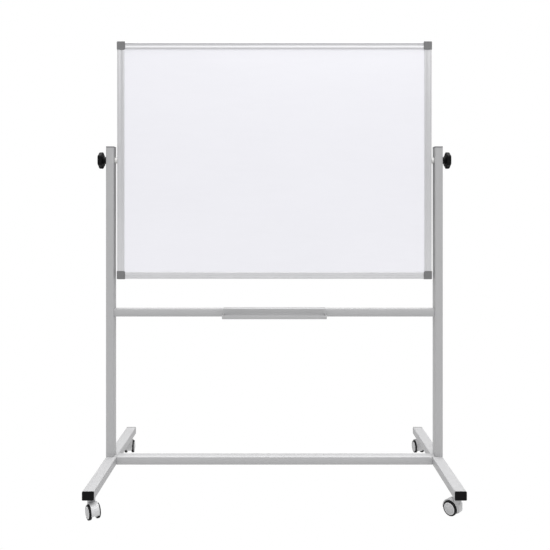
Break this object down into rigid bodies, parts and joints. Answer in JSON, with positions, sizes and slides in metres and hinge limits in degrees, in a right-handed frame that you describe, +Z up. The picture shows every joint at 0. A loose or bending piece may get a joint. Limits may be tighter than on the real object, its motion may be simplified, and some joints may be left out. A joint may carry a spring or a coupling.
{
  "type": "rolling whiteboard",
  "caption": "Double-sided whiteboard in an aluminium frame that turns over between two posts on a caster stand, with clamp knobs and a pen tray.",
  "frame": {"origin": "on the floor under the middle of the board, at the bottom centre of the whole object", "axes": "+X to the right along the board, +Y to the rear, -Y the front with the pen tray, +Z up"},
  "size_m": [1.35, 0.6608, 1.6842],
  "materials": {
    "enamelled_sheet": "gloss",
    "honeycomb_core": "matte",
    "anodised_aluminium": "satin",
    "corner_plastic": "matte",
    "silver_paint": "satin",
    "grey_plastic": "satin",
    "black_plastic": "satin",
    "natural_nylon": "satin",
    "zinc_steel": "satin",
    "caster_plastic": "satin",
    "wheel_rubber": "matte"
  },
  "bodies": {
    "stand": {"left_post": "silver_paint", "left_post_top_cap": "grey_plastic", "left_pivot_bush": "natural_nylon", "left_foot": "silver_paint", "left_post_bolt": "zinc_steel", "upper_crossbar_left_bolt": "zinc_steel", "lower_crossbar_left_bolt": "zinc_steel", "tray_screw_left": "zinc_steel", "right_post": "silver_paint", "right_post_top_cap": "grey_plastic", "right_pivot_bush": "natural_nylon", "right_foot": "silver_paint", "right_post_bolt": "zinc_steel", "upper_crossbar_right_bolt": "zinc_steel", "lower_crossbar_right_bolt": "zinc_steel", "tray_screw_right": "zinc_steel", "upper_crossbar": "silver_paint", "lower_crossbar": "silver_paint", "pen_tray": "silver_paint", "front_left_foot_cap": "black_plastic", "front_left_caster_stem": "zinc_steel", "front_right_foot_cap": "black_plastic", "front_right_caster_stem": "zinc_steel", "rear_left_foot_cap": "black_plastic", "rear_left_caster_stem": "zinc_steel", "rear_right_foot_cap": "black_plastic", "rear_right_caster_stem": "zinc_steel"},
    "board": {"top_frame_rail": "anodised_aluminium", "bottom_frame_rail": "anodised_aluminium", "left_frame_stile": "anodised_aluminium", "right_frame_stile": "anodised_aluminium", "top_left_corner_cap": "corner_plastic", "top_right_corner_cap": "corner_plastic", "bottom_left_corner_cap": "corner_plastic", "bottom_right_corner_cap": "corner_plastic", "board_core": "honeycomb_core", "front_writing_panel": "enamelled_sheet", "rear_writing_panel": "enamelled_sheet", "left_pivot_block": "zinc_steel", "left_pivot_stud": "zinc_steel", "right_pivot_block": "zinc_steel", "right_pivot_stud": "zinc_steel"},
    "left_knob": {"left_clamp_knob": "black_plastic"},
    "right_knob": {"right_clamp_knob": "black_plastic"},
    "front_left_caster": {"front_left_caster_housing": "caster_plastic", "front_left_caster_axle": "zinc_steel"},
    "front_left_wheel_1": {"front_left_caster_wheel_1": "wheel_rubber"},
    "front_left_wheel_2": {"front_left_caster_wheel_2": "wheel_rubber"},
    "front_right_caster": {"front_right_caster_housing": "caster_plastic", "front_right_caster_axle": "zinc_steel"},
    "front_right_wheel_1": {"front_right_caster_wheel_1": "wheel_rubber"},
    "front_right_wheel_2": {"front_right_caster_wheel_2": "wheel_rubber"},
    "rear_left_caster": {"rear_left_caster_housing": "caster_plastic", "rear_left_caster_axle": "zinc_steel"},
    "rear_left_wheel_1": {"rear_left_caster_wheel_1": "wheel_rubber"},
    "rear_left_wheel_2": {"rear_left_caster_wheel_2": "wheel_rubber"},
    "rear_right_caster": {"rear_right_caster_housing": "caster_plastic", "rear_right_caster_axle": "zinc_steel"},
    "rear_right_wheel_1": {"rear_right_caster_wheel_1": "wheel_rubber"},
    "rear_right_wheel_2": {"rear_right_caster_wheel_2": "wheel_rubber"}
  },
  "joints": [
    {"name": "board_flip", "type": "hinge", "parent": "stand", "child": "board", "pos_m": [0, 0, 1.2305], "axis": [1, 0, 0], "continuous": true},
    {"name": "left_knob_turn", "type": "hinge", "parent": "board", "child": "left_knob", "pos_m": [-0.6425, 0, 1.2305], "axis": [-1, 0, 0], "continuous": true},
    {"name": "right_knob_turn", "type": "hinge", "parent": "board", "child": "right_knob", "pos_m": [0.6425, 0, 1.2305], "axis": [1, 0, 0], "continuous": true},
    {"name": "front_left_swivel", "type": "hinge", "parent": "stand", "child": "front_left_caster", "pos_m": [-0.621, -0.28, 0.06], "axis": [0, 0, 1], "continuous": true},
    {"name": "front_left_wheel_1_spin", "type": "hinge", "parent": "front_left_caster", "child": "front_left_wheel_1", "pos_m": [-0.59795, -0.28888, 0.025], "axis": [0.8387, 0.5446, 0], "continuous": true},
    {"name": "front_left_wheel_2_spin", "type": "hinge", "parent": "front_left_caster", "child": "front_left_wheel_2", "pos_m": [-0.62227, -0.30467, 0.025], "axis": [0.8387, 0.5446, 0], "continuous": true},
    {"name": "front_right_swivel", "type": "hinge", "parent": "stand", "child": "front_right_caster", "pos_m": [0.621, -0.28, 0.06], "axis": [0, 0, 1], "continuous": true},
    {"name": "front_right_wheel_1_spin", "type": "hinge", "parent": "front_right_caster", "child": "front_right_wheel_1", "pos_m": [0.59694, -0.27442, 0.025], "axis": [-0.7547, -0.6561, 0], "continuous": true},
    {"name": "front_right_wheel_2_spin", "type": "hinge", "parent": "front_right_caster", "child": "front_right_wheel_2", "pos_m": [0.61882, -0.25539, 0.025], "axis": [-0.7547, -0.6561, 0], "continuous": true},
    {"name": "rear_left_swivel", "type": "hinge", "parent": "stand", "child": "rear_left_caster", "pos_m": [-0.621, 0.28, 0.06], "axis": [0, 0, 1], "continuous": true},
    {"name": "rear_left_wheel_1_spin", "type": "hinge", "parent": "rear_left_caster", "child": "rear_left_wheel_1", "pos_m": [-0.63719, 0.29866, 0.025], "axis": [-0.9962, -0.0872, 0], "continuous": true},
    {"name": "rear_left_wheel_2_spin", "type": "hinge", "parent": "rear_left_caster", "child": "rear_left_wheel_2", "pos_m": [-0.6083, 0.30119, 0.025], "axis": [-0.9962, -0.0872, 0], "continuous": true},
    {"name": "rear_right_swivel", "type": "hinge", "parent": "stand", "child": "rear_right_caster", "pos_m": [0.621, 0.28, 0.06], "axis": [0, 0, 1], "continuous": true},
    {"name": "rear_right_wheel_1_spin", "type": "hinge", "parent": "rear_right_caster", "child": "rear_right_wheel_1", "pos_m": [0.60417, 0.29808, 0.025], "axis": [-0.9925, -0.1219, 0], "continuous": true},
    {"name": "rear_right_wheel_2_spin", "type": "hinge", "parent": "rear_right_caster", "child": "rear_right_wheel_2", "pos_m": [0.63296, 0.30162, 0.025], "axis": [-0.9925, -0.1219, 0], "continuous": true}
  ]
}
